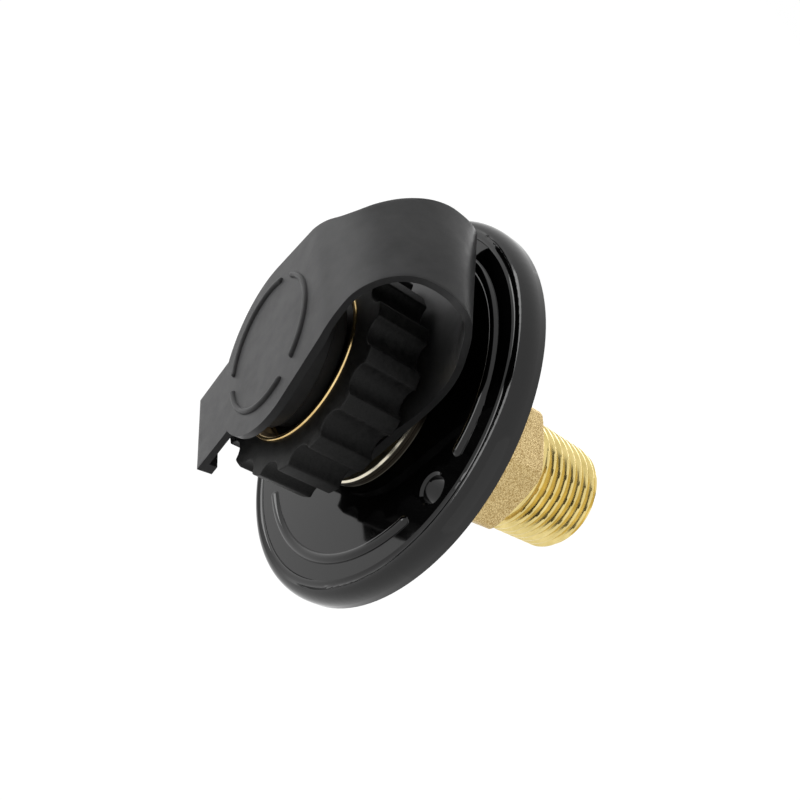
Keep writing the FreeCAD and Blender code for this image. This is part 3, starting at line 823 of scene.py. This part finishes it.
def stopperMesh():
    shape = stopperShape
    edge, corner, bevel = shape["round"], shape["corner"], shape["bevel"]
    top, step, stepEnd = shape["top"], shape["step"], shape["stepEnd"]
    radius, end = shape["radius"], shape["end"]
    profile = [(shape["inside"], top), (step, top), (step, stepEnd + edge)]
    profile += [(step - edge, stepEnd), (radius + corner, stepEnd), (radius, stepEnd - corner)]
    profile += [(radius, end + bevel), (radius - edge, end + edge), (radius - bevel, end)]
    profile += [(shape["inside"], end)]
    return tiltWithCap(latheMesh("stopper", profile, 128))


capBeads = {
    "radius": 11.5,
    "width": 1.0,
    "height": 0.6,
    "sunk": 0.6,
    "gap": 16.0,
    "angle": -56.0,
    "count": 3,
}


def beadMesh(first, last):
    # A low rounded bead on the cap along an arc, with round ends; first and last in degrees
    steps = 48
    radius = capBeads["radius"]
    half = capBeads["width"] / 2
    sunk = capBeads["sunk"]
    face = strapShape["capOut"]
    section = [(-half, -sunk)]
    for angle in np.linspace(math.pi, 0, 9):
        section.append((half * math.cos(angle), capBeads["height"] * math.sin(angle)))
    section.append((half, -sunk))
    rows = []
    ends = np.radians([first, last])
    for side, centre in ((-1, ends[0]), (1, ends[1])):
        turns = np.linspace(90, 0, 7) if side < 0 else np.linspace(0, 90, 7)
        part = []
        for turn in np.radians(turns):
            shrink = max(math.cos(turn), 0.02)
            ahead = side * half * math.sin(turn) / radius
            part.append([(radius + across * shrink, up * (shrink if up > 0 else 1), centre + ahead)
                         for across, up in section])
        if side < 0:
            rows += part
            for share in np.linspace(0, 1, steps)[1:-1]:
                centre = ends[0] + (ends[1] - ends[0]) * share
                rows.append([(radius + across, up, centre) for across, up in section])
        else:
            rows += part
    grid = np.array([[(r * math.sin(a), -(face + up), r * math.cos(a)) for r, up, a in row] for row in rows])
    mesh = meshFromGrid("bead", grid, closeRows=False)
    work = bmesh.new()
    work.from_mesh(mesh)
    bmesh.ops.holes_fill(work, edges=work.edges, sides=0)
    bmesh.ops.recalc_face_normals(work, faces=work.faces)
    work.to_mesh(mesh)
    work.free()
    return mesh


def makeStrap():
    shape = strapShape
    strap = addObject("plugAndStrap", facesOutward(strapMesh()))
    radius = shape["ringHole"]
    near = shape["ringOut"] - 1.7
    far = shape["ringOut"] + 3.3
    core = 0.001  # a drill without a hole down its middle
    hole = latheMesh("ringHole", [(core, near), (radius, near), (radius, far), (core, far)], 128)
    cutOrJoin(strap, addObject("ringHole", hole), "DIFFERENCE")
    softenEdges(strap, shape["edgeRound"], 2, 50)
    applyModifiers(strap)
    cutOrJoin(strap, addObject("stopper", stopperMesh()), "UNION")
    beads = capBeads
    span = 360 / beads["count"]
    trim = beads["gap"] / 2 + math.degrees(beads["width"] / 2 / beads["radius"])
    for index in range(beads["count"]):
        first = beads["angle"] + index * span + trim
        bead = tiltWithCap(beadMesh(first, first + span - 2 * trim))
        cutOrJoin(strap, addObject("bead", bead), "UNION")
    smoothByAngle(strap, 40)
    evenNormals(strap)
    applyModifiers(strap)
    dress(strap, "strap")
    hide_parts("strap_ring", "plug_cap")
    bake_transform(strap)
    return strap


strap = makeStrap()
print("plug and strap made,", len(strap.data.polygons), "faces")


# CAD pieces that keep their own shape
keptFinishes = {
    "flange_plate": "flange",
    "flange_seal": "seal",
    "swivel_tail": "turned",
    "clamp_collar": "collar",
    "hose_washer": "seal",
    "strainer_screen": "steel",
    "valve_seat": "valve",
    "cartridge_seal": "seal",
    "valve_cage": "valve",
    "valve_poppet": "valve",
    "poppet_seal": "seal",
    "valve_spring": "steel",
}
for name, finish in keptFinishes.items():
    dress(nodes[name], finish)
print("kept pieces dressed")


# Floor, light and camera
stageSettings = {
    "floorDrop": 0.3,
    "floorSize": 20.0,
    "floorPale": 0.9,
    "floorGlow": 1.16,
    "glowShare": 0.86,
    "skyGlow": 0.065,
}


def floorPaint():
    # Diffuse paint that keeps the shadow, mixed with a white that only the camera and reflections see
    material = bpy.data.materials.new("floorPaint")
    material.use_nodes = True
    tree = material.node_tree
    tree.nodes.clear()
    output = tree.nodes.new("ShaderNodeOutputMaterial")
    mix = tree.nodes.new("ShaderNodeMixShader")
    paint = tree.nodes.new("ShaderNodeBsdfDiffuse")
    pale = stageSettings["floorPale"]
    paint.inputs["Color"].default_value = (pale, pale, pale, 1)
    glow = tree.nodes.new("ShaderNodeEmission")
    glow.inputs["Strength"].default_value = stageSettings["floorGlow"]
    rays = tree.nodes.new("ShaderNodeLightPath")
    seen = tree.nodes.new("ShaderNodeMath")
    seen.operation = "MAXIMUM"
    tree.links.new(rays.outputs["Is Camera Ray"], seen.inputs[0])
    tree.links.new(rays.outputs["Is Glossy Ray"], seen.inputs[1])
    share = tree.nodes.new("ShaderNodeMath")
    share.operation = "MULTIPLY"
    share.inputs[1].default_value = stageSettings["glowShare"]
    tree.links.new(seen.outputs[0], share.inputs[0])
    tree.links.new(share.outputs[0], mix.inputs["Fac"])
    tree.links.new(paint.outputs[0], mix.inputs[1])
    tree.links.new(glow.outputs[0], mix.inputs[2])
    tree.links.new(mix.outputs[0], output.inputs["Surface"])
    return material


def makeFloor():
    size = stageSettings["floorSize"]
    level = -stageSettings["floorDrop"]
    mesh = bpy.data.meshes.new("floor")
    corners = [(-size, -size, level), (size, -size, level), (size, size, level), (-size, size, level)]
    mesh.from_pydata(corners, [], [(0, 1, 2, 3)])
    floor = addObject("floor", mesh)
    floor.data.materials.append(floorPaint())


def makeWorld():
    world = bpy.data.worlds.new("studio")
    bpy.context.scene.world = world
    world.use_nodes = True
    tree = world.node_tree
    background = tree.nodes["Background"]
    background.inputs["Color"].default_value = (1, 1, 1, 1)
    rays = tree.nodes.new("ShaderNodeLightPath")
    seen = tree.nodes.new("ShaderNodeMath")
    seen.operation = "MAXIMUM"
    tree.links.new(rays.outputs["Is Camera Ray"], seen.inputs[0])
    tree.links.new(rays.outputs["Is Glossy Ray"], seen.inputs[1])
    both = tree.nodes.new("ShaderNodeMath")
    both.operation = "MAXIMUM"
    tree.links.new(seen.outputs[0], both.inputs[0])
    tree.links.new(rays.outputs["Is Transmission Ray"], both.inputs[1])
    level = tree.nodes.new("ShaderNodeMapRange")
    level.inputs["To Min"].default_value = stageSettings["skyGlow"]
    level.inputs["To Max"].default_value = 1.0
    tree.links.new(both.outputs[0], level.inputs["Value"])
    tree.links.new(level.outputs["Result"], background.inputs["Strength"])


lamps = {
    "frontLamp": {"place": (-0.42, -0.76, -0.08), "size": 0.7, "power": 6.2},
    "sideLamp": {"place": (0.85, 0.10, 0.35), "size": 0.9, "power": 0.4},
    "rearLamp": {"place": (-0.50, 0.66, 0.02), "size": 0.5, "power": 1.9},
}


def makeLamps():
    target = Vector((0, -0.005, 0))
    for name, settings in lamps.items():
        light = bpy.data.lights.new(name, "AREA")
        light.shape = "SQUARE"
        light.size = settings["size"]
        light.energy = settings["power"]
        lamp = bpy.data.objects.new(name, light)
        lamp.location = settings["place"]
        lamp.rotation_mode = "QUATERNION"
        lamp.rotation_quaternion = (target - lamp.location).to_track_quat("-Z", "Y")
        bpy.context.scene.collection.objects.link(lamp)


cameraSettings = {
    "lens": 45.0,
    "place": (117.93, -89.17, 85.03),
    "right": (0.10388, 0.74675, 0.65695),
    "up": (-0.70988, -0.40697, 0.57485),
    "back": (0.69662, -0.52607, 0.48783),
}


def makeCamera():
    data = bpy.data.cameras.new("photoView")
    data.lens = cameraSettings["lens"]
    data.sensor_width = 36.0
    data.clip_start = 0.01
    data.clip_end = 20.0
    camera = bpy.data.objects.new("photoView", data)
    turn = Matrix([cameraSettings["right"], cameraSettings["up"], cameraSettings["back"]]).transposed()
    camera.matrix_world = Matrix.Translation(Vector(cameraSettings["place"]) * mm) @ turn.to_4x4()
    bpy.context.scene.collection.objects.link(camera)
    bpy.context.scene.camera = camera


makeFloor()
makeWorld()
makeLamps()
makeCamera()
bpy.context.scene.view_settings.view_transform = "Standard"
print("stage set")
